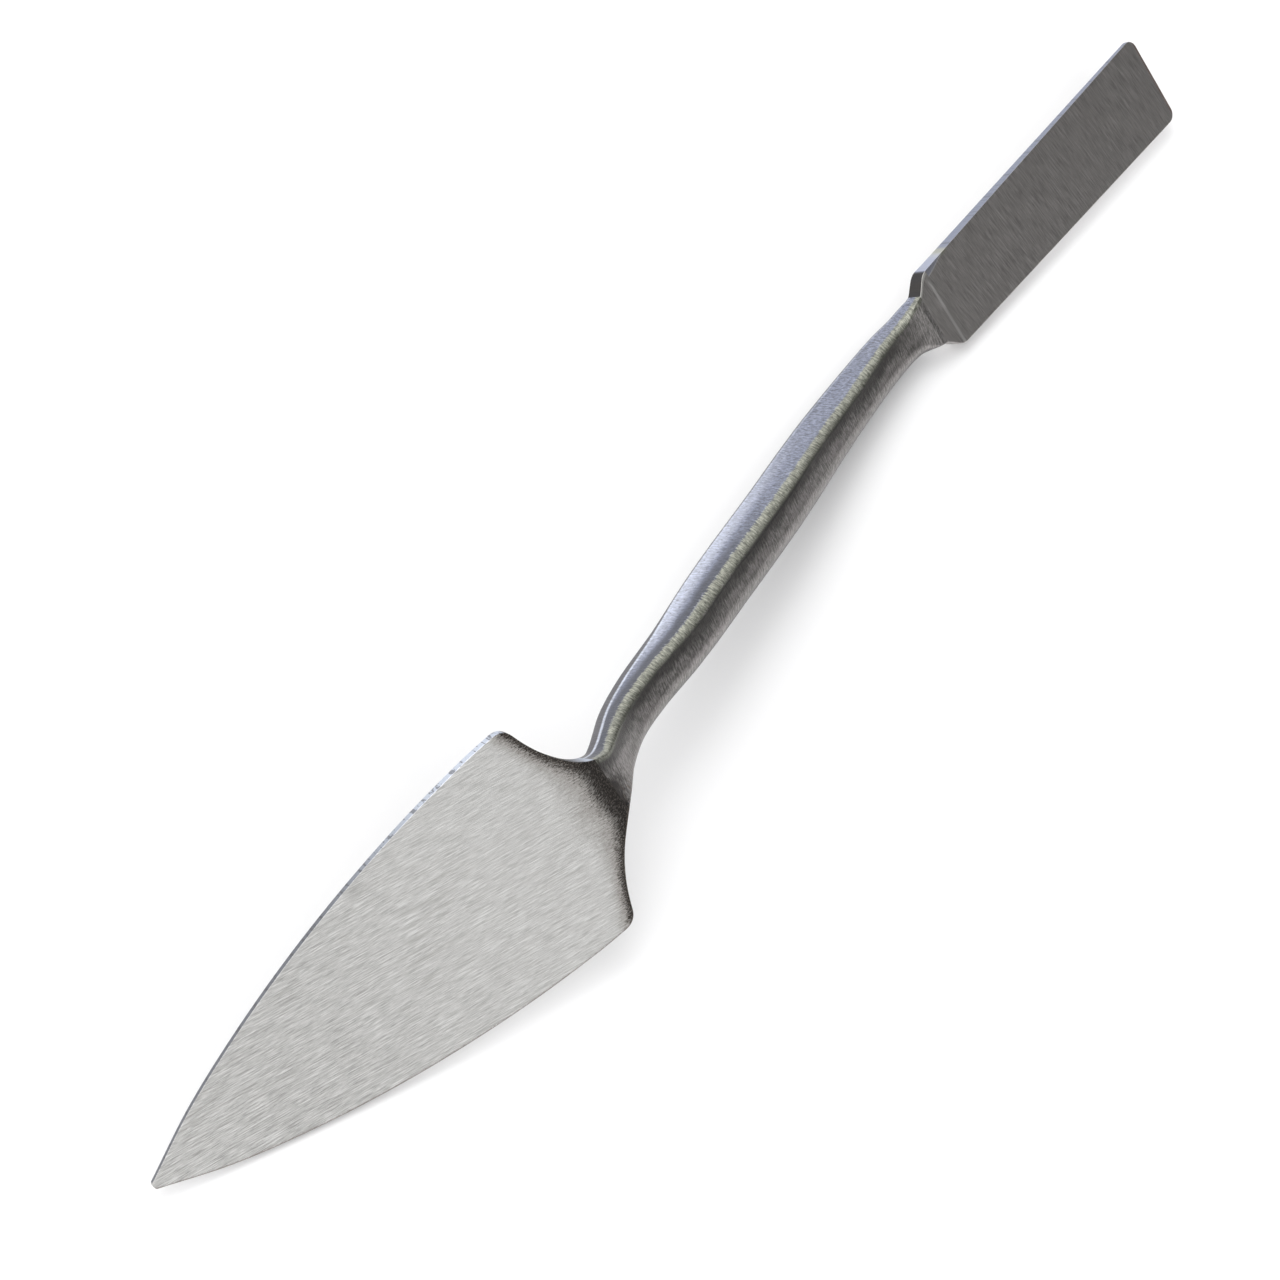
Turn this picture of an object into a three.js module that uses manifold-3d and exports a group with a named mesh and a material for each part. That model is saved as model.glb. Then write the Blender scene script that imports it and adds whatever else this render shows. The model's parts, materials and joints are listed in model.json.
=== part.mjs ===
// A plasterer's small tool, forged in one piece of steel: a leaf-shaped trowel blade, a cranked
// neck, a square handle with rounded corners, a second neck, and a narrow square-ended blade.
// Lengths are in millimetres, +Z is up, and the tool lies on its right side as it rests on a table.
//
// It is drawn first in the trowel's own axes and laid down afterwards: X runs from the trowel's tip
// to its heel, Y to its right, and Z away from its flat working face, which lies in the plane Z = 0.

import * as THREE from 'three';
import Module from 'manifold-3d';
import { mergeVertices } from 'three/addons/utils/BufferGeometryUtils.js';

// Trowel blade
const TROWEL_LENGTH = 84.6; // tip to the crease where the neck starts
const TROWEL_CREASE_WIDTH = 9.2;
const TROWEL_TIP_THICKNESS = 0.8;
const TROWEL_HEEL_THICKNESS = 1.65;
const ROOT_START = 74; // where the root of the neck rises from the blade's back
const ROOT_HEIGHT = 5.4; // height of the root at the crease

// Square blade, in its own plane
const SQUARE_LENGTH = 61.5; // crease to end
const SQUARE_SHOULDER = 3.8; // how far the shoulders slant back from the crease to the neck
const SQUARE_NECK_WIDTH = 8.8;
const SQUARE_HEEL_WIDTH = 14;
const SQUARE_END_WIDTH = 16;
const SQUARE_HEEL_THICKNESS = 2.4;
const SQUARE_END_THICKNESS = 0.9;
const SQUARE_CORNER_RADIUS = 1.6;
const SQUARE_PITCH = THREE.MathUtils.degToRad(15.3); // rise of its face above the trowel's
const SQUARE_CREASE = new THREE.Vector3(188, 0, 52.8);

// The bar from heel to heel. Each station has its centre (x, z), the lean of its section back
// from upright in degrees, and the width and height of the section.
const BAR_STATIONS = [
  { x: 84.9, z: 2.7, lean: 0, width: 9.2, height: 5.4 },
  { x: 89.5, z: 7.9, lean: 44, width: 7.2, height: 4.5 },
  { x: 95.0, z: 13.5, lean: 38, width: 6.8, height: 5.4 },
  { x: 101.5, z: 17.4, lean: 28, width: 7.0, height: 6.6 },
  { x: 111.0, z: 21.4, lean: 25, width: 7.5, height: 7.5 },
  { x: 124.0, z: 28.1, lean: 27, width: 8.1, height: 8.1 },
  { x: 140.0, z: 35.8, lean: 27, width: 8.1, height: 8.1 },
  { x: 155.0, z: 43.8, lean: 27, width: 7.6, height: 7.6 },
  { x: 166.0, z: 48.9, lean: 24, width: 7.0, height: 6.9 },
  { x: 175.0, z: 52.4, lean: 18, width: 6.8, height: 6.0 },
  { x: 179.8, z: 53.4, lean: 14, width: 7.2, height: 4.7 },
  { x: 183.6, z: 53.1, lean: 15.3, width: 8.8, height: 3.0 },
];
const CORNER_SHARE = 0.22; // corner radius of the section, as a share of its side
const TROWEL_NECK_END = 0.3; // share of the bar's stations that is the trowel's neck
const SQUARE_NECK_START = 0.8;
const PIECE_GAP_SHARE = 0.003; // about 0.3 mm between neighbouring pieces of the bar

// Where it rests: the leaf's right edge near the tip and the bar's lower right edge. The third
// place is the corner of the square blade's heel.
const LEAF_EDGE_REST = new THREE.Vector3(20.8, 9.0, 1.0);
const BAR_EDGE_REST = new THREE.Vector3(172.6, 2.9, 54.5);

const wasm = await Module();
wasm.setup();

// The outline of the leaf: the left edge from tip to shoulder, the heel's two hollow curves with
// the crease between them, and the right edge back to the tip.
function leafOutline() {
  const side = [
    [0.4, 0.7],
    [10.5, 5.4],
    [22, 9.4],
    [34, 12.7],
    [46, 15.2],
    [58, 17.0],
    [69, 18.0],
    [74.6, 18.2],
  ];
  const crease = TROWEL_CREASE_WIDTH / 2;
  const outline = new THREE.Shape();
  outline.moveTo(side[0][0], -side[0][1]);
  outline.splineThru(side.slice(1).map(([x, y]) => new THREE.Vector2(x, -y)));
  outline.quadraticCurveTo(76.6, -18.2, 77.2, -16.4);
  outline.bezierCurveTo(78.6, -12.0, 80.6, -8.6, TROWEL_LENGTH, -crease);
  outline.lineTo(TROWEL_LENGTH, crease);
  outline.bezierCurveTo(80.6, 8.6, 78.6, 12.0, 77.2, 16.4);
  outline.quadraticCurveTo(76.6, 18.2, 74.6, 18.2);
  outline.splineThru(side.slice(0, -1).reverse().map(([x, y]) => new THREE.Vector2(x, y)));
  return outline;
}

// The outline of the square blade in its own plane: X from the crease to the end, Y to the right.
function squareOutline() {
  const heel = SQUARE_HEEL_WIDTH / 2;
  const end = SQUARE_END_WIDTH / 2;
  const neck = SQUARE_NECK_WIDTH / 2;
  const radius = SQUARE_CORNER_RADIUS;
  const outline = new THREE.Shape();
  outline.moveTo(-SQUARE_SHOULDER, -neck);
  outline.lineTo(0, -heel);
  outline.lineTo(SQUARE_LENGTH - radius, -end);
  outline.quadraticCurveTo(SQUARE_LENGTH, -end, SQUARE_LENGTH, -end + radius);
  outline.lineTo(SQUARE_LENGTH, end - radius);
  outline.quadraticCurveTo(SQUARE_LENGTH, end, SQUARE_LENGTH - radius, end);
  outline.lineTo(0, heel);
  outline.lineTo(-SQUARE_SHOULDER, neck);
  return outline;
}

// A plate with its face in the plane Z = 0 and its back at a thickness that changes along X.
function taperedPlate(outline, length, startThickness, endThickness) {
  const plate = new THREE.ExtrudeGeometry(outline, { depth: 1, bevelEnabled: false, curveSegments: 6 });
  const position = plate.getAttribute('position');
  for (let i = 0; i < position.count; i += 1) {
    const share = position.getX(i) / length;
    const thickness = THREE.MathUtils.lerp(startThickness, endThickness, share);
    position.setZ(i, position.getZ(i) * thickness);
  }
  return plate;
}

// A square of side 1 with rounded corners, centred on the origin.
function unitSection() {
  const corner = CORNER_SHARE;
  const flat = 0.5 - corner;
  const section = new THREE.Shape();
  section.absarc(flat, -flat, corner, -Math.PI / 2, 0);
  section.absarc(flat, flat, corner, 0, Math.PI / 2);
  section.absarc(-flat, flat, corner, Math.PI / 2, Math.PI);
  section.absarc(-flat, -flat, corner, Math.PI, Math.PI * 1.5);
  return section;
}

// A bar that follows its stations: the unit section is drawn out in equal steps, then each step is
// carried to its place on the centre line, leant back and stretched to its width and height.
function forgedBar(stations, from, to, steps) {
  const centres = new THREE.CatmullRomCurve3(
    stations.map((s) => new THREE.Vector3(s.x, 0, s.z)),
    false,
    'catmullrom',
  );
  const sections = new THREE.CatmullRomCurve3(
    stations.map((s) => new THREE.Vector3(THREE.MathUtils.degToRad(s.lean), s.width, s.height)),
    false,
    'catmullrom',
  );
  const bar = new THREE.ExtrudeGeometry(unitSection(), {
    depth: 1,
    steps,
    bevelEnabled: false,
    curveSegments: 3,
  });
  const position = bar.getAttribute('position');
  for (let i = 0; i < position.count; i += 1) {
    const along = THREE.MathUtils.lerp(from, to, position.getZ(i));
    const centre = centres.getPoint(along);
    const { x: lean, y: width, z: height } = sections.getPoint(along);
    const sideways = position.getX(i) * width;
    const upright = position.getY(i) * height;
    position.setXYZ(
      i,
      centre.x - Math.sin(lean) * upright,
      sideways,
      centre.z + Math.cos(lean) * upright,
    );
  }
  return bar;
}

function toSolid(geometry) {
  geometry.deleteAttribute('normal');
  geometry.deleteAttribute('uv');
  const merged = mergeVertices(geometry, 1e-4);
  return new wasm.Manifold(
    new wasm.Mesh({
      numProp: 3,
      vertProperties: new Float32Array(merged.getAttribute('position').array),
      triVerts: new Uint32Array(merged.getIndex().array),
    }),
  );
}

function toGeometry(solid) {
  const mesh = solid.getMesh();
  const geometry = new THREE.BufferGeometry();
  geometry.setAttribute('position', new THREE.BufferAttribute(mesh.vertProperties, mesh.numProp));
  geometry.setIndex(new THREE.BufferAttribute(mesh.triVerts, 1));
  geometry.computeVertexNormals();
  return geometry;
}

const workedSteel = new THREE.MeshStandardMaterial({ color: 0xbcbab6, roughness: 0.38, metalness: 1 });
const darkSteel = new THREE.MeshStandardMaterial({ color: 0x6b6764, roughness: 0.42, metalness: 1 });
const forgedSteel = new THREE.MeshStandardMaterial({ color: 0x7d7b7e, roughness: 0.5, metalness: 1 });

// The leaf with the root of the neck standing on its back.
function trowelBlade() {
  const plate = taperedPlate(leafOutline(), TROWEL_LENGTH, TROWEL_TIP_THICKNESS, TROWEL_HEEL_THICKNESS);
  const crease = BAR_STATIONS[0];
  const rootStations = [
    { x: ROOT_START, z: 0.8, lean: 0, width: 13, height: 1.2 },
    { x: ROOT_START + 4, z: 1.35, lean: 0, width: 11.5, height: 2.3 },
    { x: ROOT_START + 8, z: 2.25, lean: 0, width: 10.0, height: 4.1 },
    { x: TROWEL_LENGTH, z: ROOT_HEIGHT / 2 + 0.1, lean: 0, width: crease.width, height: ROOT_HEIGHT - 0.2 },
  ];
  const root = forgedBar(rootStations, 0, 1, 8);
  return toGeometry(toSolid(plate).add(toSolid(root)));
}

function squareBlade() {
  return taperedPlate(squareOutline(), SQUARE_LENGTH, SQUARE_HEEL_THICKNESS, SQUARE_END_THICKNESS);
}

// Lies the tool down on the three places that it rests on, with its length along X.
function layDown(tool, restsOn, tip, farEnd) {
  const [first, second, third] = restsOn;
  const up = new THREE.Vector3().crossVectors(
    new THREE.Vector3().subVectors(third, first),
    new THREE.Vector3().subVectors(second, first),
  ).normalize();
  const along = new THREE.Vector3().subVectors(farEnd, tip).projectOnPlane(up).normalize();
  const sideways = new THREE.Vector3().crossVectors(up, along);
  const axes = new THREE.Matrix4().makeBasis(along, sideways, up);
  tool.quaternion.setFromRotationMatrix(axes.transpose());

  tool.updateMatrixWorld(true);
  const box = new THREE.Box3().setFromObject(tool, true);
  const centre = box.getCenter(new THREE.Vector3());
  tool.position.set(-centre.x, -centre.y, -box.min.z);
}

const tool = new THREE.Group();

function addPiece(name, geometry, material, parent = tool) {
  const mesh = new THREE.Mesh(geometry, material);
  mesh.name = name;
  parent.add(mesh);
}

addPiece('trowel_blade', trowelBlade(), workedSteel);
addPiece('trowel_neck', forgedBar(BAR_STATIONS, 0, TROWEL_NECK_END, 12), forgedSteel);
addPiece('handle', forgedBar(BAR_STATIONS, TROWEL_NECK_END + PIECE_GAP_SHARE, SQUARE_NECK_START, 24), forgedSteel);
addPiece('square_neck', forgedBar(BAR_STATIONS, SQUARE_NECK_START + PIECE_GAP_SHARE, 1, 12), forgedSteel);

const squareEnd = new THREE.Group();
squareEnd.position.copy(SQUARE_CREASE);
squareEnd.rotation.y = -SQUARE_PITCH;
tool.add(squareEnd);
addPiece('square_blade', squareBlade(), darkSteel, squareEnd);

const heelCorner = new THREE.Vector3(0, SQUARE_HEEL_WIDTH / 2, SQUARE_HEEL_THICKNESS);
const farEnd = new THREE.Vector3(SQUARE_LENGTH, 0, 0);
squareEnd.updateMatrix();
layDown(
  tool,
  [LEAF_EDGE_REST, BAR_EDGE_REST, heelCorner.applyMatrix4(squareEnd.matrix)],
  new THREE.Vector3(),
  farEnd.applyMatrix4(squareEnd.matrix),
);

const part = new THREE.Group();
part.add(tool);

export default part;
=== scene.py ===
import json
import math

import bpy
import numpy as np
from mathutils import Matrix, Vector


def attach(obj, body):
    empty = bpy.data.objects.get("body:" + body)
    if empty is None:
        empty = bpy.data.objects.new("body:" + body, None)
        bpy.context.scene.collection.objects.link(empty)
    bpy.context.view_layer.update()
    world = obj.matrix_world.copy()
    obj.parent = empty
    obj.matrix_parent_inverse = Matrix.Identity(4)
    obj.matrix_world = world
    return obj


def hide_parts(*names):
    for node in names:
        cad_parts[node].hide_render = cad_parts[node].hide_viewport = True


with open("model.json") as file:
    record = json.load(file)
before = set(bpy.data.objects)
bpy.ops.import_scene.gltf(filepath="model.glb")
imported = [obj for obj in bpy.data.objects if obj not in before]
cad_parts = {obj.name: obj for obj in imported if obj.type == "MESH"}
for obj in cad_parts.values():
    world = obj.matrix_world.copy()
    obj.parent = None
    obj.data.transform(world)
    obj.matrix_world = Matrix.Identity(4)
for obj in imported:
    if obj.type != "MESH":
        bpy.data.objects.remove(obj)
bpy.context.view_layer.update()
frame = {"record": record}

MM = 0.001

# ---------------------------------------------------------------- the tool's own axes

MOUNTS = {mount["name"]: mount for mount in frame["record"]["mounts"]}
TROWEL_MOUNT_X = 50.0      # where the trowel_face mount lies along the trowel
trowel_back = -np.array(MOUNTS["trowel_face"]["axis"])
square_back = -np.array(MOUNTS["square_face"]["axis"])
axis_z = trowel_back / np.linalg.norm(trowel_back)
axis_y = np.cross(square_back, trowel_back)
axis_y /= np.linalg.norm(axis_y)
axis_x = np.cross(axis_y, axis_z)
TOOL_AXES = np.column_stack([axis_x, axis_y, axis_z])
TOOL_ORIGIN = np.array(MOUNTS["trowel_face"]["pos_m"]) - TROWEL_MOUNT_X * MM * axis_x


def to_frame(points):
    """Points in the tool's axes, in millimetres, to the part's frame, in metres."""
    return TOOL_ORIGIN + (np.asarray(points) * MM) @ TOOL_AXES.T


# ---------------------------------------------------------------- sizes, in millimetres

# The leaf: its half width against X, from the tip round the shoulder and into the heel's hollow.
TROWEL_LENGTH = 84.6                # tip to the crease where the neck starts
CREASE_HALF_WIDTH = 4.6
LEAF_TIP = [(0.0, 0.3), (0.08, 0.5), (0.2, 0.62)]
LEAF_SIDE = [(0.4, 0.7), (10.5, 5.4), (22, 9.4), (34, 12.7),
             (46, 15.2), (58, 17.0), (69, 18.0), (74.6, 18.2)]
LEAF_SHOULDER = [(74.6, 18.2), (76.6, 18.2), (77.2, 16.4)]
LEAF_HOLLOW = [(77.2, 16.4), (78.6, 12.0), (80.6, 8.6), (TROWEL_LENGTH, CREASE_HALF_WIDTH)]
TIP_THICKNESS, HEEL_THICKNESS = 0.8, 1.65
LEAF_EDGE, LEAF_FACE_EDGE = 0.14, 0.1        # radii of its back and face edges
CREASE_EDGE, CREASE_EDGE_START = 0.9, 81.5   # what the back edges gain on the way to the crease

# The root of the neck, a ridge that rises from the leaf's back.
ROOT_START, ROOT_END = 74.0, TROWEL_LENGTH + 4
ROOT_HEIGHT = 5.4                   # at the crease
ROOT_CURVE = 1.6
ROOT_SPREAD, ROOT_FLARE, ROOT_FLARE_START = 3.6, 6.5, 80.5
ROOT_SLOPE = (0.45, 1.5)            # where its sides start and end, as shares of its spread

# The bar from heel to heel: x, z, lean in degrees, width, height.
BAR = np.array([
    (84.6, 2.7, 0, 9.2, 5.4),
    (89.5, 7.9, 44, 7.2, 4.5),
    (95.0, 13.5, 38, 6.8, 5.4),
    (101.5, 17.4, 28, 7.0, 6.6),
    (111.0, 21.4, 25, 7.5, 7.5),
    (124.0, 28.1, 27, 8.1, 8.1),
    (140.0, 35.8, 27, 8.1, 8.1),
    (155.0, 43.8, 27, 7.6, 7.6),
    (166.0, 48.9, 24, 7.0, 6.9),
    (175.0, 52.4, 18, 6.8, 6.0),
    (179.8, 53.4, 14, 7.1, 4.7),
    (183.6, 53.1, 15.3, 8.8, 3.0),
])
BAR_RINGS = 250
TROWEL_NECK_END, SQUARE_NECK_START = 0.3, 0.8      # shares of the bar's rings

# Its four corners, in the order right face, right back, left back, left face: the radius as a
# share of the section's smaller side, and how far each is pressed towards a straight chamfer.
BAR_CORNERS = (0.40, 0.16, 0.14, 0.165)
BAR_CHAMFERS = (0.0, 0.3, 0.3, 0.6)
LEFT_LEAN = 0.75                    # how far the handle's left side leans in towards its face

# Where the bar leaves the leaf: how much narrower the left half of the neck's foot is, and over
# what distances past the fold, then how far and how strongly the fold is softened.
FOOT_CUT, FOOT_REACH = 0.2, (1, 9)
SOFT_REACH, SOFT_PASSES = 2.6, 300

# The square blade, along its own length from the crease.
SQUARE_LENGTH, SQUARE_SHOULDER = 61.5, 3.8
SQUARE_HEEL_HALF, SQUARE_END_HALF, SQUARE_CORNER = 7.0, 8.0, 1.6
SQUARE_SHOULDER_CURVE = [(-3.4, 4.55), (-2.2, 5.3), (-1.3, 6.9), (0.0, SQUARE_HEEL_HALF)]
SQUARE_HEEL_THICKNESS, SQUARE_END_THICKNESS = 2.4, 0.9
SQUARE_NECK_STEP = 0.45             # what the shoulder is thicker than the taper alone
SQUARE_EDGE, SQUARE_BACK_EDGE = 0.12, 0.2
CREASE_RIDGE = 0.05                 # how far the crease stands out from the face
SQUARE_PITCH = math.radians(15.3)
SQUARE_CREASE = np.array([188.0, 0.0, 52.8])

BLADE_CHAMFERS = (0.2, 0.2, 0.2, 0.2)


# ---------------------------------------------------------------- small curve tools

def spline(points, count):
    """A smooth curve through the points, as count rows."""
    p = np.asarray(points, float)
    ends = np.vstack([2 * p[0] - p[1], p, 2 * p[-1] - p[-2]])
    t = np.linspace(0, len(p) - 1, count)
    i = np.minimum(t.astype(int), len(p) - 2)
    w = (t - i)[:, None]
    a, b, c, d = ends[i], ends[i + 1], ends[i + 2], ends[i + 3]
    m1, m2 = (c - a) / 2, (d - b) / 2
    return ((2 * w**3 - 3 * w**2 + 1) * b + (w**3 - 2 * w**2 + w) * m1
            + (3 * w**2 - 2 * w**3) * c + (w**3 - w**2) * m2)


def bezier(points, count):
    """A curve with three or four control points, as count rows."""
    p = np.asarray(points, float)
    t = np.linspace(0, 1, count)[:, None]
    if len(p) == 3:
        return (1 - t)**2 * p[0] + 2 * t * (1 - t) * p[1] + t**2 * p[2]
    return (1 - t)**3 * p[0] + 3 * t * (1 - t)**2 * p[1] + 3 * t**2 * (1 - t) * p[2] + t**3 * p[3]


def smoothstep(low, high, value):
    """0 below low, 1 above high, and a smooth rise between them."""
    t = np.clip((np.asarray(value, float) - low) / (high - low), 0, 1)
    return t * t * (3 - 2 * t)


def wobble(value, seed, pitch, octaves=3, knot_count=600, start=-60):
    """Smooth, repeatable unevenness between about -1 and 1, with features pitch millimetres long,
    for places from start onwards."""
    rng = np.random.default_rng(seed)
    total = np.zeros_like(np.asarray(value, float))
    for octave in range(octaves):
        knots = rng.uniform(-1, 1, knot_count)
        at = (np.asarray(value) - start) / pitch * 2**octave
        i = np.clip(at.astype(int), 0, knot_count - 2)
        w = at - i
        w = w * w * (3 - 2 * w)
        total += ((1 - w) * knots[i] + w * knots[i + 1]) / 2**octave
    return total / 1.5


def distance_to_line(points, line):
    """How far each point is from the nearest part of a line of straight stretches."""
    best = np.full(len(points), 1e9)
    for a, b in zip(line[:-1], line[1:]):
        d = b - a
        t = np.clip(((points - a) @ d) / max(d @ d, 1e-12), 0, 1)
        best = np.minimum(best, np.linalg.norm(points - a - t[:, None] * d, axis=1))
    return best


# ---------------------------------------------------------------- the forging's sections

FACE_STEPS, CORNER_STEPS, SIDE_STEPS = 40, 8, 8
RING = 2 * FACE_STEPS + 2 * SIDE_STEPS + 4 * CORNER_STEPS
QUARTER = math.pi / 2

# Where two stretches of a ring start, in the order that section() makes them: face, right face
# corner, right side, right back corner, back, left back corner, left side, left face corner.
LEFT_SIDE_START = 2 * FACE_STEPS + SIDE_STEPS + 3 * CORNER_STEPS
LEFT_FACE_CORNER_START = LEFT_SIDE_START + SIDE_STEPS


def corner_points(y, z, radius, start, chamfer):
    """A quarter turn round a corner from the angle start: an arc pressed towards a straight chamfer."""
    t = np.arange(CORNER_STEPS) / CORNER_STEPS
    angle = start + QUARTER * t
    end = start + QUARTER
    arc = np.column_stack([y + radius * np.cos(angle), z + radius * np.sin(angle)])
    first = np.array([y + radius * math.cos(start), z + radius * math.sin(start)])
    last = np.array([y + radius * math.cos(end), z + radius * math.sin(end)])
    line = first + (last - first) * t[:, None]
    return (1 - chamfer) * arc + chamfer * line


def section(half, low, high_at, radii, chamfers):
    """One closed section, in (y, z): its half width, the height of its face, and high_at(y), the
    height of its back. The corners are right face, right back, left back, left face."""
    rf, rb, lb, lf = radii
    t = np.arange(FACE_STEPS) / FACE_STEPS
    s = np.arange(SIDE_STEPS) / SIDE_STEPS
    right_top = high_at(np.array([half - rb]))[0]
    left_top = high_at(np.array([-(half - lb)]))[0]

    face_y = -(half - lf) + (2 * half - lf - rf) * t
    right_z = low + rf + (right_top - rb - low - rf) * s
    back_y = (half - rb) - (2 * half - lb - rb) * t
    left_z = left_top - lb + (low + lf - left_top + lb) * s
    return np.vstack([
        np.column_stack([face_y, np.full_like(face_y, low)]),
        corner_points(half - rf, low + rf, rf, -QUARTER, chamfers[0]),
        np.column_stack([np.full_like(right_z, half), right_z]),
        corner_points(half - rb, right_top - rb, rb, 0, chamfers[1]),
        np.column_stack([back_y, high_at(back_y)]),
        corner_points(-(half - lb), left_top - lb, lb, QUARTER, chamfers[2]),
        np.column_stack([np.full_like(left_z, -half), left_z]),
        corner_points(-(half - lf), low + lf, lf, 2 * QUARTER, chamfers[3]),
    ])


def flat_back(height):
    """The height of a flat back, as section() asks for it."""
    return lambda y: np.full_like(y, height)


def leaf_outline():
    """The leaf's half width against X, close together where the outline turns."""
    side = spline(LEAF_SIDE, count=220)
    shoulder = bezier(LEAF_SHOULDER, count=22)[1:]
    hollow = bezier(LEAF_HOLLOW, count=60)[1:]
    return np.vstack([LEAF_TIP, side, shoulder, hollow])


def root_rise(x):
    return smoothstep(ROOT_START, ROOT_END, x) ** ROOT_CURVE


def leaf_back(x, thickness):
    """The height of the leaf's back at x: flat, with the root of the neck along its middle."""
    root = (ROOT_HEIGHT - HEEL_THICKNESS) / root_rise(TROWEL_LENGTH)
    rise = root_rise(x)
    spread = ROOT_SPREAD + ROOT_FLARE * smoothstep(ROOT_FLARE_START, TROWEL_LENGTH, x)
    top, foot = (spread * share for share in ROOT_SLOPE)
    return lambda y: thickness + root * rise * (1 - smoothstep(top, foot, np.abs(y)))


def trowel_rings():
    rings, info = [], []
    for x, half in leaf_outline():
        thickness = TIP_THICKNESS + (HEEL_THICKNESS - TIP_THICKNESS) * x / TROWEL_LENGTH
        edge = LEAF_EDGE + CREASE_EDGE * smoothstep(CREASE_EDGE_START, TROWEL_LENGTH, x)
        edge = min(edge, 0.45 * thickness, 0.6 * half)
        face_edge = min(LEAF_FACE_EDGE, edge)
        radii = (face_edge, edge, edge, face_edge)
        yz = section(half, 0.0, leaf_back(x, thickness), radii, BLADE_CHAMFERS)
        rings.append(np.column_stack([np.full(RING, x), yz[:, 0], yz[:, 1]]))
        info.append((x, half, "trowel_blade"))
    return rings, info


def bar_node(share):
    """The CAD node that has this share of the bar."""
    if share < TROWEL_NECK_END:
        return "trowel_neck"
    return "handle" if share < SQUARE_NECK_START else "square_neck"


def bar_section(x, share, width, height):
    """The bar's section: crisp where it joins a blade, uneven with rounder corners between them."""
    size = min(width, height)
    loose = smoothstep(0.04, 0.2, share) * (1 - smoothstep(0.9, 1.0, share))
    wavy = 1 + 0.3 * loose * wobble(x, seed=4, pitch=9.0)
    grow = 0.12 + 0.88 * smoothstep(0.0, 0.1, share)
    close = 1 - 0.8 * smoothstep(0.9, 1.0, share)
    corners = (*BAR_CORNERS[:3], BAR_CORNERS[3] * wavy)
    radii = [corner * size * grow * close for corner in corners]
    half = width / 2 + 0.05 * loose * wobble(x, seed=7, pitch=16.0)
    high = height / 2 + 0.05 * loose * wobble(x, seed=8, pitch=18.0)
    yz = section(half, -height / 2, flat_back(high), radii, BAR_CHAMFERS)

    lean_in = LEFT_LEAN * smoothstep(100, 116, x) * (1 - smoothstep(160, 174, x))
    near_face = np.clip(0.5 - yz[:, 1] / height, 0, 1)
    near_left = np.clip(0.5 - yz[:, 0] / width, 0, 1)
    yz[:, 0] += lean_in * near_face * near_left
    return half, yz


def bar_rings():
    rows = spline(BAR, BAR_RINGS)[1:]
    rings, info = [], []
    for n, (x, z, lean, width, height) in enumerate(rows):
        share = (n + 1) / len(rows)
        lean = math.radians(lean)
        half, yz = bar_section(x, share, width, height)
        rings.append(np.column_stack([
            x - math.sin(lean) * yz[:, 1],
            yz[:, 0],
            z + math.cos(lean) * yz[:, 1],
        ]))
        info.append((x, half, bar_node(share)))
    return rings, info


def square_outline():
    """The square blade's half width against the distance from its crease."""
    shoulder = bezier(SQUARE_SHOULDER_CURVE, count=26)
    straight_end = SQUARE_LENGTH - SQUARE_CORNER
    side = np.column_stack([
        np.linspace(0.3, straight_end, 110),
        np.linspace(SQUARE_HEEL_HALF + 0.02, SQUARE_END_HALF, 110),
    ])
    angle = np.linspace(0, QUARTER, 20)[1:]
    corner = np.column_stack([
        straight_end + SQUARE_CORNER * np.sin(angle),
        SQUARE_END_HALF - SQUARE_CORNER * (1 - np.cos(angle)),
    ])
    return np.vstack([shoulder, side, corner])


def square_rings():
    rings, info = [], []
    along_dir = np.array([math.cos(SQUARE_PITCH), 0, math.sin(SQUARE_PITCH)])
    back_dir = np.array([-math.sin(SQUARE_PITCH), 0, math.cos(SQUARE_PITCH)])
    right_dir = np.array([0, 1.0, 0])
    taper = SQUARE_END_THICKNESS - SQUARE_HEEL_THICKNESS
    radii = (SQUARE_EDGE, SQUARE_BACK_EDGE, SQUARE_BACK_EDGE, SQUARE_EDGE)
    for along, half in square_outline():
        thickness = SQUARE_HEEL_THICKNESS + taper * along / SQUARE_LENGTH
        thickness += SQUARE_NECK_STEP * (1 - smoothstep(-SQUARE_SHOULDER, 2.0, along))
        face = -CREASE_RIDGE * (1 - smoothstep(0.0, 1.4, abs(along - 0.2)))
        yz = section(half, face, flat_back(thickness), radii, BLADE_CHAMFERS)
        ring = SQUARE_CREASE + along * along_dir + yz[:, 1:] * back_dir + yz[:, :1] * right_dir
        rings.append(ring)
        info.append((along, half, "square_blade"))
    return rings, info


def soften_fold(rings, fold):
    """Turns the forging up out of the leaf in a soft hollow, not a fold, with the left half of the
    neck's foot drawn in."""
    middles = rings.mean(axis=1)
    reach = np.cumsum(np.linalg.norm(np.diff(middles, axis=0, prepend=middles[:1]), axis=1))
    reach -= reach[fold]
    on_neck = (np.arange(len(rings)) >= fold)[:, None]
    left_of_neck = (rings[:, :, 1] < 0) & on_neck
    rings[:, :, 1] *= 1 - FOOT_CUT * left_of_neck * (1 - smoothstep(*FOOT_REACH, reach))[:, None]
    soft = np.exp(-(reach / SOFT_REACH) ** 2)[1:-1, None, None]
    for _ in range(SOFT_PASSES):
        rings[1:-1] += 0.5 * soft * ((rings[2:] + rings[:-2]) / 2 - rings[1:-1])


trowel, trowel_info = trowel_rings()
bar, bar_info = bar_rings()
square, square_info = square_rings()
RINGS = np.array(trowel + bar + square)
INFO = trowel_info + bar_info + square_info       # X or distance along, half width, CAD node
NODE_OF_RING = np.array([name for _, _, name in INFO])
FOLD = len(trowel)                                # the first ring of the neck
soften_fold(RINGS, FOLD)


# ---------------------------------------------------------------- normals and measures over the skin

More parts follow.
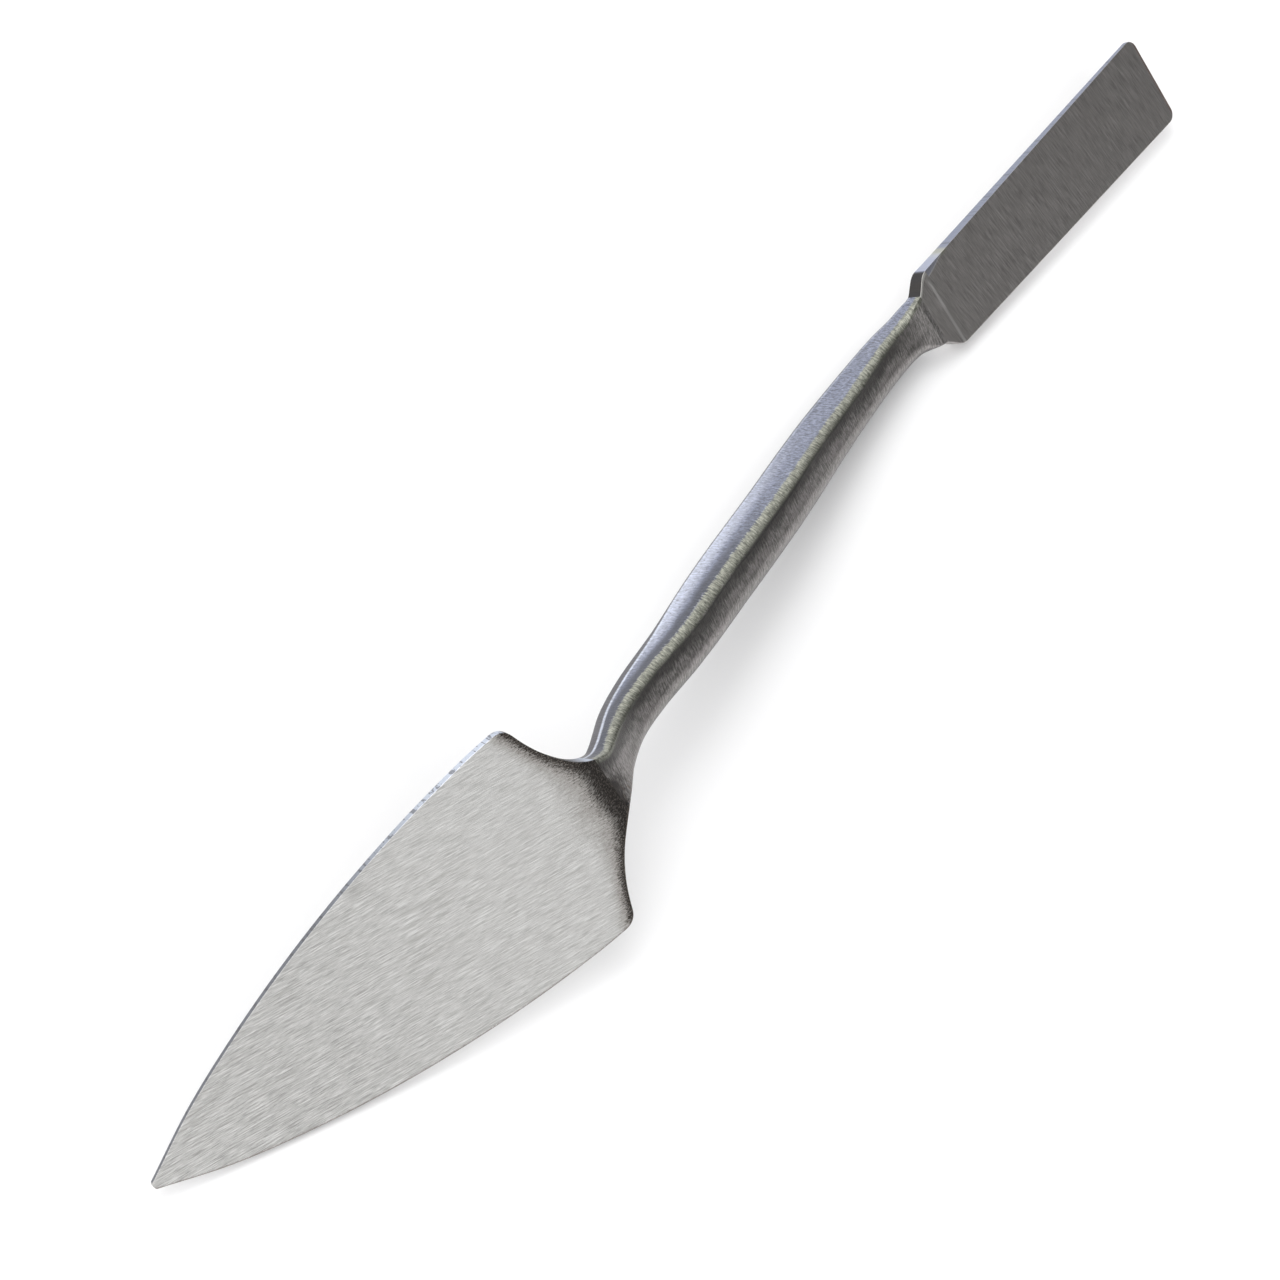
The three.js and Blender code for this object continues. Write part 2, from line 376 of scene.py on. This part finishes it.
def grid_normals(rings):
    """Smooth normals of the whole skin, from the differences along it and round it."""
    along = np.gradient(rings, axis=0)
    around = np.roll(rings, -1, axis=1) - np.roll(rings, 1, axis=1)
    normal = np.cross(around, along)
    return normal / np.maximum(np.linalg.norm(normal, axis=2, keepdims=True), 1e-12)


NORMALS = grid_normals(RINGS)
CENTRE_LINE = RINGS.mean(axis=1)
if np.sum(NORMALS[:, 0] * (RINGS[:, 0] - CENTRE_LINE)) < 0:
    NORMALS = -NORMALS
steps_along = np.linalg.norm(np.diff(RINGS, axis=0), axis=2).mean(axis=1)
ALONG = np.concatenate([[0], np.cumsum(steps_along)])
steps_around = np.linalg.norm(np.roll(RINGS, -1, axis=1) - RINGS, axis=2)
AROUND = np.concatenate([np.zeros((len(RINGS), 1)), np.cumsum(steps_around, axis=1)], axis=1)


# ---------------------------------------------------------------- masks over the skin

def from_leaf_heel():
    """The distance from the leaf's heel, as a share of the width of the band of painted shade there."""
    across = RINGS[:, :, 1]
    hollow = np.vstack([bezier(LEAF_SHOULDER, count=8)[4:], bezier(LEAF_HOLLOW, count=24)])
    heel_line = np.vstack([hollow, hollow[::-1] * np.array([1, -1])])
    distance = distance_to_line(RINGS.reshape(-1, 3)[:, :2], heel_line).reshape(across.shape)
    width_on_leaf = 1.35 + 2.5 * np.exp(-(across / 6.0) ** 2)
    width_on_neck = 1.2 + 6.5 * np.exp(-((across[FOLD:] + 0.6) / 3.0) ** 2)
    heel = distance / width_on_leaf
    heel[FOLD:] = (ALONG - ALONG[FOLD])[FOLD:, None] / width_on_neck
    return heel


def towards_face():
    """How squarely the skin looks the way that the tool's face looks at each section."""
    tangent = np.gradient(CENTRE_LINE, axis=0)
    tangent /= np.linalg.norm(tangent, axis=1, keepdims=True)
    facing = np.column_stack([tangent[:, 2], np.zeros(len(RINGS)), -tangent[:, 0]])
    facing[NODE_OF_RING == "trowel_blade"] = (0, 0, -1)
    facing[NODE_OF_RING == "square_blade"] = (math.sin(SQUARE_PITCH), 0, -math.cos(SQUARE_PITCH))
    return np.einsum("ijk,ik->ij", NORMALS, facing)


def round_from(start):
    """Millimetres round each section from the place start, positive towards the face."""
    around = AROUND[:, :-1] - start
    perimeter = AROUND[:, -1:]
    return np.where(around < -perimeter / 2, around + perimeter, around)


def skin_masks():
    """What the materials read at each point of the skin.

    heel: the distance from the leaf's heel, as a share of the painted shade band's width
    face, left: 1 where the skin looks the face's way or to the left, 0 where it looks elsewhere
    crest: millimetres round from the middle of the left face corner
    left_rim: millimetres round from where the left side starts, by the back
    outline: millimetres in from the section's half width
    place: where the section's middle is along the tool
    across: how far the point is to the right of the tool's middle
    """
    across = RINGS[:, :, 1]
    corner_middle = (AROUND[:, LEFT_FACE_CORNER_START] + AROUND[:, -1])[:, None] / 2
    half_widths = np.array([half for _, half, _ in INFO])
    return {
        "heel": from_leaf_heel(),
        "face": smoothstep(0.55, 0.9, towards_face()),
        "left": smoothstep(0.6, 0.9, -NORMALS[:, :, 1]),
        "crest": round_from(corner_middle),
        "left_rim": round_from(AROUND[:, LEFT_SIDE_START:LEFT_SIDE_START + 1]),
        "outline": half_widths[:, None] - np.abs(across),
        "place": np.repeat(CENTRE_LINE[:, :1], RING, axis=1),
        "across": across,
    }


# ---------------------------------------------------------------- pieces

def blade_uv(ring, point):
    """Surface coordinates on a blade: along it and across it."""
    x, _, name = INFO[ring]
    p = RINGS[ring, point % RING]
    return x, p[1] + (p[2] if name == "trowel_blade" else 0.0)


def bar_uv(ring, point):
    """Surface coordinates on the bar: along the skin and round the section."""
    return ALONG[ring], AROUND[ring, point]


def skin_piece(name, first, last, surface_uv, masks):
    """The skin from ring first to ring last, closed at both ends, with its uv and its masks."""
    count = last + 1 - first
    vertices = to_frame(RINGS[first:last + 1].reshape(-1, 3))
    normals = NORMALS[first:last + 1].reshape(-1, 3) @ TOOL_AXES.T
    quads = [((i, j), (i, j + 1), (i + 1, j + 1), (i + 1, j))
             for i in range(count - 1) for j in range(RING)]
    faces = [[i * RING + j % RING for i, j in quad] for quad in quads]
    corner_uvs = [surface_uv(first + i, j) for quad in quads for i, j in quad]

    for end, outward in ((0, -1), (count - 1, 1)):
        ring = first + end
        points = range(RING)[::outward]
        faces.append([len(vertices) + j for j in points])
        corner_uvs += [surface_uv(ring, j) for j in points]
        vertices = np.vstack([vertices, vertices[end * RING:(end + 1) * RING]])
        ahead = to_frame(CENTRE_LINE[min(ring + 1, len(RINGS) - 1)])
        behind = to_frame(CENTRE_LINE[max(ring - 1, 0)])
        axis = outward * (ahead - behind) / np.linalg.norm(ahead - behind)
        normals = np.vstack([normals, np.tile(axis, (RING, 1))])

    mesh = bpy.data.meshes.new(name)
    mesh.from_pydata(vertices.tolist(), [], faces)
    mesh.update()
    mesh.shade_smooth()
    uv = mesh.uv_layers.new(name="surface")
    uv.data.foreach_set("uv", np.array(corner_uvs, np.float32).ravel())
    for mask_name, values in masks.items():
        layer = mesh.attributes.new(mask_name, "FLOAT", "POINT")
        skin = values[first:last + 1]
        with_ends = np.concatenate([skin.ravel(), skin[0], skin[-1]]).astype(np.float32)
        layer.data.foreach_set("value", with_ends)
    mesh.normals_split_custom_set_from_vertices([tuple(n) for n in normals])
    piece = bpy.data.objects.new(name, mesh)
    bpy.context.scene.collection.objects.link(piece)
    return piece


PIECES = {}
masks = skin_masks()
for node in ("trowel_blade", "trowel_neck", "handle", "square_neck", "square_blade"):
    ring_numbers = np.flatnonzero(NODE_OF_RING == node)
    first, last = ring_numbers[0], min(ring_numbers[-1] + 1, len(RINGS) - 1)
    uv_rule = blade_uv if node.endswith("blade") else bar_uv
    piece = skin_piece(node + "_steel", first, last, uv_rule, masks)
    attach(piece, "root")
    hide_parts(node)
    PIECES[node] = piece


# ---------------------------------------------------------------- materials

class Nodes:
    """A material's nodes, made and joined by short calls."""

    def __init__(self, name):
        self.material = bpy.data.materials.new(name)
        self.material.use_nodes = True
        self.tree = self.material.node_tree
        self.tree.nodes.clear()
        self.out = self.tree.nodes.new("ShaderNodeOutputMaterial")
        self.shader = self.tree.nodes.new("ShaderNodeBsdfPrincipled")
        self.link(self.shader.outputs["BSDF"], self.out.inputs["Surface"])

    def link(self, a, b):
        self.tree.links.new(a, b)

    def put(self, value, socket):
        """A link from another node, a colour or a number into a socket."""
        if isinstance(value, bpy.types.NodeSocket):
            self.link(value, socket)
        elif isinstance(value, tuple):
            socket.default_value = (*value, 1.0)
        else:
            socket.default_value = value

    def mask(self, name):
        node = self.tree.nodes.new("ShaderNodeAttribute")
        node.attribute_name = name
        return node.outputs["Fac"]

    def surface(self, angle=0.0, scale=(1.0, 1.0)):
        """Surface coordinates in millimetres, turned so that their second axis runs across a grain
        at angle degrees, then stretched."""
        uv = self.tree.nodes.new("ShaderNodeUVMap")
        uv.uv_map = "surface"
        turn = self.tree.nodes.new("ShaderNodeMapping")
        turn.inputs["Rotation"].default_value = (0, 0, -math.radians(angle))
        self.link(uv.outputs["UV"], turn.inputs["Vector"])
        stretch = self.tree.nodes.new("ShaderNodeMapping")
        stretch.inputs["Scale"].default_value = (*scale, 1.0)
        self.link(turn.outputs["Vector"], stretch.inputs["Vector"])
        return stretch.outputs["Vector"]

    def uv_along(self):
        split = self.tree.nodes.new("ShaderNodeSeparateXYZ")
        self.link(self.surface(), split.inputs[0])
        return split.outputs["X"]

    def grain(self, angle, scale, detail, rough):
        """Noise drawn out along a grain at angle degrees, with scale features to the millimetre
        along it and across it."""
        vector = self.surface(angle, scale)
        node = self.tree.nodes.new("ShaderNodeTexNoise")
        node.noise_dimensions = "2D"
        node.inputs["Scale"].default_value = 1.0
        node.inputs["Detail"].default_value = detail
        node.inputs["Roughness"].default_value = rough
        self.link(vector, node.inputs["Vector"])
        return node.outputs["Fac"]

    def math(self, operation, *values):
        node = self.tree.nodes.new("ShaderNodeMath")
        node.operation = operation
        for value, socket in zip(values, node.inputs):
            self.put(value, socket)
        return node.outputs[0]

    def times(self, first, *others):
        """The product of the values."""
        product = first
        for other in others:
            product = self.math("MULTIPLY", product, other)
        return product

    def ragged(self, value, noise, amount):
        """The value made uneven by a noise, by up to half the amount either way."""
        return self.math("MULTIPLY_ADD", self.math("SUBTRACT", noise, 0.5), amount, value)

    def span(self, value, low, high, to_low=0.0, to_high=1.0, smooth=True):
        """The value's place between low and high, from to_low to to_high and no further."""
        node = self.tree.nodes.new("ShaderNodeMapRange")
        node.interpolation_type = "SMOOTHSTEP" if smooth else "LINEAR"
        self.put(value, node.inputs["Value"])
        node.inputs["From Min"].default_value = low
        node.inputs["From Max"].default_value = high
        node.inputs["To Min"].default_value = to_low
        node.inputs["To Max"].default_value = to_high
        return node.outputs["Result"]

    def mix(self, amount, a, b):
        node = self.tree.nodes.new("ShaderNodeMix")
        node.data_type = "RGBA"
        self.put(amount, node.inputs[0])
        self.put(a, node.inputs[6])
        self.put(b, node.inputs[7])
        return node.outputs[2]

    def coat(self, colour, where, share, over):
        """The colour, covered to that share by another one where the mask is 1."""
        return self.mix(self.times(where, share), colour, over)

    def bump(self, height, distance, strength):
        node = self.tree.nodes.new("ShaderNodeBump")
        node.inputs["Strength"].default_value = strength
        node.inputs["Distance"].default_value = distance
        self.link(height, node.inputs["Height"])
        self.link(node.outputs["Normal"], self.shader.inputs["Normal"])

    def finish(self, colour, roughness, metallic=1.0):
        self.put(colour, self.shader.inputs["Base Color"])
        self.put(roughness, self.shader.inputs["Roughness"])
        self.shader.inputs["Metallic"].default_value = metallic
        return self.material


# The places that the masks and the surface coordinates give are in millimetres. Along the tool, the
# leaf ends at X = 85, its neck at 104, the handle at 173 and the square neck at 184; the square
# blade's surface runs from -3.4 at the shoulder, past the crease at 0, to 61.5 at the end.

def trowel_steel():
    """Bright linished steel: fine slanting scratches, with painted shade along the heel and a painted sheen
    growing towards it.
    """
    ground_dark, ground_light = (0.25, 0.248, 0.241), (0.62, 0.617, 0.605)
    streak_grey, stain_brown, heel_sheen = (0.42, 0.415, 0.40), (0.235, 0.225, 0.21), (1.0, 0.995, 0.98)
    nick_dark, nick_light = (0.25, 0.245, 0.235), (0.72, 0.72, 0.71)
    shade_brown, shade_black, shade_speck = (0.19, 0.165, 0.145), (0.016, 0.013, 0.011), (0.24, 0.212, 0.19)
    edge_highlight, edge_nick, edge_shade = (0.55, 0.60, 0.70), (0.09, 0.09, 0.11), (0.04, 0.04, 0.05)
    rim_brown = (0.14, 0.115, 0.098)

    n = Nodes("linished_trowel_steel")
    fine = n.grain(11, (0.36, 8.5), 3.0, 0.8)
    streak = n.grain(12, (0.07, 1.5), 3.0, 0.6)
    cloud = n.grain(0, (0.07, 0.09), 3.0, 0.5)
    scratch = n.grain(13, (0.2, 5.5), 2.0, 0.4)
    stain = n.times(n.span(streak, 0.56, 0.7), n.span(cloud, 0.5, 0.64))
    colour = n.mix(n.span(fine, 0.3, 0.7, smooth=False), ground_dark, ground_light)
    colour = n.coat(colour, n.span(streak, 0.4, 0.66), 0.22, streak_grey)
    colour = n.coat(colour, n.span(scratch, 0.6, 0.7), 0.55, nick_dark)
    colour = n.coat(colour, n.span(scratch, 0.38, 0.3), 0.4, nick_light)
    colour = n.coat(colour, stain, 0.42, stain_brown)
    # painted sheen: the leaf made lighter towards the heel, where it mirrors brighter light
    colour = n.mix(n.span(n.mask("place"), 15.0, 75.0, 0.0, 0.16), colour, heel_sheen)

    # painted shade along the heel where the leaf curves into the neck, with a painted brown tinge round it,
    # brushed away raggedly on the leaf's side
    brushed = n.grain(9, (1.6, 5.5), 3.0, 0.8)
    heel = n.ragged(n.mask("heel"), brushed, 2.3)
    heel_shade = n.span(heel, 1.1, 0.3)
    speck = n.span(n.grain(20, (3.2, 5.0), 3.0, 0.8), 0.5, 0.72)
    colour = n.coat(colour, n.span(heel, 2.3, 0.8), 0.55, shade_brown)
    colour = n.coat(colour, heel_shade, 0.94, n.mix(speck, shade_black, shade_speck))

    # the ground edges: the left one with a painted bluish highlight, nicked at the shoulder, that gives
    # way to painted shade towards the tip, and the right one with a thin brown rim
    tick = n.span(n.grain(0, (1.1, 0.2), 3.0, 0.7), 0.54, 0.6)
    edge = n.coat(edge_highlight, tick, 0.75, edge_nick)
    edge = n.mix(n.span(n.mask("place"), 38.0, 70.0), n.mix(0.85, edge, edge_shade), edge)
    colour = n.coat(colour, n.mask("left"), 0.9, edge)
    rim = n.span(n.ragged(n.mask("outline"), brushed, 0.5), 0.32, 0.12)
    on_right = n.span(n.mask("across"), -0.5, 0.5)
    colour = n.coat(colour, n.times(rim, on_right), 0.6, rim_brown)

    roughness = n.math("MULTIPLY_ADD", heel_shade, 0.18, n.span(fine, 0.25, 0.75, 0.32, 0.46, False))
    n.bump(n.math("MULTIPLY_ADD", scratch, 0.6, fine), 0.00004, 0.7)
    return n.finish(colour, roughness)


def forged_steel():
    """The bar: brushed across its length; a warm dark face and a bluish left side painted in the tones
    they mirror, a painted olive reflection along the crest between them and painted dark reflections on
    either side of it."""
    back_dark, back_light = (0.15, 0.143, 0.145), (0.27, 0.258, 0.262)
    face_dark, face_light, face_patch = (0.25, 0.238, 0.228), (0.43, 0.412, 0.398), (0.44, 0.405, 0.405)
    end_dark, end_light = (0.25, 0.239, 0.232), (0.41, 0.391, 0.38)
    side_dark, side_light, side_highlight_colour = (0.15, 0.165, 0.215), (0.35, 0.375, 0.48), (0.70, 0.735, 0.86)
    crest_reflection_dark, crest_reflection_light = (0.185, 0.19, 0.158), (0.43, 0.435, 0.375)
    side_reflected_dark, face_reflected_dark = (0.085, 0.088, 0.105), (0.085, 0.082, 0.078)
    rim_dark, ridge_highlight = (0.145, 0.14, 0.145), (0.74, 0.78, 0.88)
    shade_black, rust_trace, crumb_black = (0.05, 0.043, 0.038), (0.15, 0.105, 0.07), (0.02, 0.017, 0.016)
    pit_dark, brush_dark = (0.12, 0.11, 0.105), (0.03, 0.03, 0.035)

    n = Nodes("brushed_forged_steel")
    fine = n.grain(14, (3.4, 0.75), 3.0, 0.75)
    hair = n.grain(82, (0.5, 5.0), 2.0, 0.6)
    patch = n.grain(0, (0.16, 0.35), 4.0, 0.6)
    pit = n.span(n.grain(0, (1.7, 1.7), 2.0, 0.5), 0.64, 0.74)
    crisp = n.span(fine, 0.3, 0.7, smooth=False)
    place, across, left_rim = n.mask("place"), n.mask("across"), n.mask("left_rim")
    crest = n.ragged(n.mask("crest"), fine, 1.5)
    wander = n.ragged(crest, patch, 1.6)
    from_line = n.math("SUBTRACT", left_rim, n.span(place, 118.0, 100.0, 0.0, 1.0))

    # the back, the face and the left side, the face and side in painted tones of the light they mirror,
    # with a painted highlight on the left side
    face = n.mix(crisp, face_dark, face_light)
    face = n.coat(face, n.span(patch, 0.42, 0.66), 0.35, face_patch)
    face = n.mix(n.span(place, 176.0, 183.0), face, n.mix(crisp, end_dark, end_light))
    side_highlight = n.times(n.span(left_rim, 3.6, 1.0), n.span(place, 160.0, 126.0), n.span(place, 98.0, 114.0))
    side = n.coat(n.mix(crisp, side_dark, side_light), side_highlight, 0.75, side_highlight_colour)
    colour = n.mix(n.mask("face"), n.mix(crisp, back_dark, back_light), face)
    colour = n.mix(n.mask("left"), colour, side)

    # painted dark reflections on the side and on the face, and a painted olive reflection along the crest
    # between them
    reflected_dark_band = n.times(n.span(wander, -0.65, -1.1), n.span(wander, -3.8, -2.0))
    colour = n.coat(colour, n.times(reflected_dark_band, n.span(place, 146.0, 118.0)), 0.85, side_reflected_dark)
    shade = n.times(n.span(wander, 0.5, 0.8), n.span(wander, 3.4, 1.5), n.span(place, 182.0, 172.0))
    colour = n.coat(colour, shade, 0.8, face_reflected_dark)
    crest_reflection = n.times(n.span(crest, -1.2, -0.75), n.span(crest, 0.95, 0.55))
    colour = n.mix(crest_reflection, colour, n.mix(crisp, crest_reflection_dark, crest_reflection_light))

    # the rim behind the left side, and a painted highlight line along it where the bar dips to the trowel
    rim = n.span(n.ragged(from_line, fine, 0.3), 0.2, -0.05)
    colour = n.coat(colour, rim, 0.9, rim_dark)
    line = n.times(n.span(from_line, -0.1, 0.15), n.span(from_line, 0.65, 0.3),
                   n.span(place, 150.0, 100.0, 0.35, 1.0))
    colour = n.coat(colour, line, 0.8, ridge_highlight)

    # painted shade where the bar leaves the leaf, with rusty traces and black crumbs on its right
    heel = n.ragged(n.mask("heel"), fine, 0.9)
    heel = n.math("ADD", heel, n.span(across, 1.0, -2.0, 0.0, 0.5))
    heel_shade = n.times(n.span(heel, 0.75, 0.1), n.span(place, 96.0, 90.0))
    colour = n.coat(colour, heel_shade, 0.85, shade_black)
    trace = n.times(n.span(hair, 0.56, 0.66), n.span(place, 94.0, 88.0), n.span(across, 0.5, 2.5))
    colour = n.coat(colour, trace, 0.6, rust_trace)
    crumbs = n.times(n.span(across, 3.2, 3.9), n.span(place, 90.0, 88.0),
                     n.span(n.grain(0, (1.3, 1.3), 3.0, 0.7), 0.46, 0.54))
    colour = n.coat(colour, crumbs, 0.9, crumb_black)

    colour = n.coat(colour, pit, 0.4, pit_dark)
    colour = n.mix(n.span(fine, 0.36, 0.64, 0.34, 0.0, False), colour, brush_dark)
    roughness = n.span(fine, 0.25, 0.75, 0.32, 0.52, False)
    n.bump(n.math("MULTIPLY_ADD", patch, 1.2, fine), 0.00007, 0.8)
    return n.finish(colour, roughness)


def square_steel():
    """Satin dark grey with straight, slightly slanting brush lines, ground edges painted in the bluish tone
    they mirror, and painted highlights and shade at the heel.
    """
    satin_dark, satin_light = (0.33, 0.316, 0.308), (0.50, 0.479, 0.466)
    line_light, line_dark, cloud_grey = (0.64, 0.62, 0.61), (0.36, 0.345, 0.335), (0.40, 0.38, 0.37)
    edge_reflection_blue, edge_tick, olive_spot = (0.235, 0.255, 0.33), (0.12, 0.122, 0.135), (0.42, 0.42, 0.35)
    bevel_reflection_blue, lip_highlight = (0.46, 0.49, 0.60), (0.92, 0.92, 0.92)
    crease_highlight, shade_black = (0.80, 0.79, 0.78), (0.03, 0.027, 0.024)
    glint_white, end_brown = (0.85, 0.84, 0.80), (0.42, 0.27, 0.24)

    n = Nodes("satin_square_steel")
    fine = n.grain(84, (0.3, 4.4), 3.0, 0.7)
    line = n.grain(80, (0.16, 3.4), 2.0, 0.45)
    cloud = n.grain(0, (0.09, 0.14), 3.0, 0.5)
    across, along, outline, face = n.mask("across"), n.uv_along(), n.mask("outline"), n.mask("face")
    colour = n.mix(n.span(fine, 0.3, 0.7, smooth=False), satin_dark, satin_light)
    colour = n.coat(colour, n.span(line, 0.6, 0.72), 0.3, line_light)
    colour = n.coat(colour, n.span(line, 0.4, 0.28), 0.3, line_dark)
    colour = n.coat(colour, n.span(cloud, 0.5, 0.7), 0.3, cloud_grey)

    # the ground left edge painted in the bluish tone it mirrors, and an olive patch just past the heel
    tick = n.span(n.grain(0, (0.9, 0.4), 3.0, 0.7), 0.5, 0.64)
    colour = n.mix(n.mask("left"), colour, n.coat(edge_reflection_blue, tick, 0.5, edge_tick))
    uneven = n.ragged(along, fine, 1.2)
    spot = n.times(n.span(uneven, 3.0, 4.2), n.span(uneven, 6.6, 5.4), n.span(across, -6.4, -6.9))
    colour = n.coat(colour, spot, 0.75, olive_spot)

    # the left side's painted bluish reflection widens onto the face as a bevel at the heel, with a painted
    # highlight along its lip
    bevel = n.math("SUBTRACT", outline, n.span(along, 6.0, -0.2, 0.0, 1.15))
    on_left = n.times(n.span(across, -5.0, -5.4), n.span(along, -0.1, 0.25), n.span(along, 5.0, 4.0))
    colour = n.coat(colour, n.times(n.span(bevel, 0.06, -0.1), on_left), 0.6, bevel_reflection_blue)
    lip = n.times(n.span(bevel, -0.22, -0.06), n.span(bevel, 0.16, 0.04), on_left)
    colour = n.coat(colour, lip, 0.35, lip_highlight)

    # the heel: a painted highlight along the crease, painted shade in the notch at the left shoulder, and a
    # painted highlight along the notch's edge on the face
    crease = n.times(n.span(along, -0.75, -0.45), n.span(along, 0.05, -0.25), n.span(across, -6.6, -3.5))
    colour = n.coat(colour, n.times(crease, face), 0.5, crease_highlight)
    notch = n.times(n.span(along, 0.2, -0.4), n.span(across, -4.0, -4.4))
    colour = n.coat(colour, n.times(notch, n.math("SUBTRACT", 1.0, face)), 0.92, shade_black)
    notch_glint = n.times(notch, face, n.span(outline, 0.75, 0.4))
    colour = n.coat(colour, notch_glint, 0.85, glint_white)
    colour = n.coat(colour, n.span(along, 60.9, 61.4), 0.6, end_brown)
    roughness = n.span(fine, 0.25, 0.75, 0.36, 0.46, False)
    n.bump(n.math("MULTIPLY_ADD", line, 0.5, fine), 0.00003, 0.6)
    return n.finish(colour, roughness)


bar_steel = forged_steel()
FINISH = {"trowel_blade": trowel_steel(), "trowel_neck": bar_steel, "handle": bar_steel,
          "square_neck": bar_steel, "square_blade": square_steel()}
for node, piece in PIECES.items():
    piece.data.materials.append(FINISH[node])


# ---------------------------------------------------------------- floor, camera and light

TABLE_RADIUS, TABLE_CORNERS = 1.4, 96
TABLE_WHITE = (0.90, 0.90, 0.905)

# the photograph's angle, in degrees and metres
CAMERA_HEADING, CAMERA_ROLL = (-64.79, 56.42), 12.98
CAMERA_AIM, CAMERA_DISTANCE = Vector((-0.01928, 0.00881, 0.012)), 0.62651
LENS, SENSOR = 120.0, 36.0

SOFTBOX_DISTANCE, SOFTBOX_SIDE = 1.2, 0.7
SURROUND, DARK_SIDE, BEHIND_TABLE = 1.84, 0.11, 1.3      # strengths of the world's light
DARK_HEADING, DARK_EDGE = (58, 22), (0.45, 0.82)         # cosines of the angle from its middle


def table_top():
    """A plain pale table, cut round so that its far edge never shows."""
    mesh = bpy.data.meshes.new("table_top")
    angles = np.linspace(0, 2 * math.pi, TABLE_CORNERS + 1)[:-1]
    rim = [(TABLE_RADIUS * math.cos(a), TABLE_RADIUS * math.sin(a), 0.0) for a in angles]
    mesh.from_pydata(rim, [], [tuple(range(TABLE_CORNERS))])
    n = Nodes("table_white")
    mesh.materials.append(n.finish(TABLE_WHITE, 0.75, 0.0))
    table = bpy.data.objects.new("table_top", mesh)
    bpy.context.scene.collection.objects.link(table)


def heading(azimuth, elevation):
    """The direction from the object towards azimuth, elevation in degrees; azimuth 0 is -Y."""
    a, e = math.radians(azimuth), math.radians(elevation)
    return Vector((math.sin(a) * math.cos(e), -math.cos(a) * math.cos(e), math.sin(e)))


def camera():
    data = bpy.data.cameras.new("camera")
    data.lens, data.sensor_width = LENS, SENSOR
    data.clip_start, data.clip_end = 0.01, 20.0
    cam = bpy.data.objects.new("camera", data)
    bpy.context.scene.collection.objects.link(cam)
    back = heading(*CAMERA_HEADING)
    cam.location = CAMERA_AIM + back * CAMERA_DISTANCE
    level = Vector((0, 0, 1)).cross(back).normalized()
    roll = math.radians(CAMERA_ROLL)
    right = level * math.cos(roll) + back.cross(level) * math.sin(roll)
    cam.rotation_mode = "QUATERNION"
    cam.rotation_quaternion = Matrix((right, back.cross(right), back)).transposed().to_quaternion()
    bpy.context.scene.camera = cam


def softbox(name, azimuth, elevation, power):
    data = bpy.data.lights.new(name, "AREA")
    data.shape, data.size, data.size_y = "RECTANGLE", SOFTBOX_SIDE, SOFTBOX_SIDE
    data.energy = power
    lamp = bpy.data.objects.new(name, data)
    bpy.context.scene.collection.objects.link(lamp)
    direction = heading(azimuth, elevation)
    lamp.location = direction * SOFTBOX_DISTANCE
    lamp.rotation_mode = "QUATERNION"
    lamp.rotation_quaternion = direction.to_track_quat("Z", "Y")


def studio():
    """A pale surround with a darker side, so that the dark facets have something dark to mirror."""
    world = bpy.data.worlds.new("studio")
    bpy.context.scene.world = world
    world.use_nodes = True
    tree = world.node_tree
    tree.nodes.clear()
    out = tree.nodes.new("ShaderNodeOutputWorld")
    background = tree.nodes.new("ShaderNodeBackground")
    coords = tree.nodes.new("ShaderNodeTexCoord")
    dot = tree.nodes.new("ShaderNodeVectorMath")
    dot.operation = "DOT_PRODUCT"
    dot.inputs[1].default_value = heading(*DARK_HEADING)
    tree.links.new(coords.outputs["Generated"], dot.inputs[0])
    dark = tree.nodes.new("ShaderNodeMapRange")
    dark.interpolation_type = "SMOOTHSTEP"
    dark.inputs["From Min"].default_value = DARK_EDGE[0]
    dark.inputs["From Max"].default_value = DARK_EDGE[1]
    dark.inputs["To Min"].default_value = SURROUND
    dark.inputs["To Max"].default_value = DARK_SIDE
    tree.links.new(dot.outputs["Value"], dark.inputs["Value"])
    path = tree.nodes.new("ShaderNodeLightPath")
    seen = tree.nodes.new("ShaderNodeMix")
    tree.links.new(path.outputs["Is Camera Ray"], seen.inputs[0])
    tree.links.new(dark.outputs["Result"], seen.inputs[2])
    seen.inputs[3].default_value = BEHIND_TABLE
    tree.links.new(seen.outputs[0], background.inputs["Strength"])
    tree.links.new(background.outputs[0], out.inputs[0])


table_top()
camera()
studio()
softbox("key", 172, 58, 2.7)
softbox("side_fill", -50, 34, 2.0)
bpy.context.scene.view_settings.view_transform = "Standard"
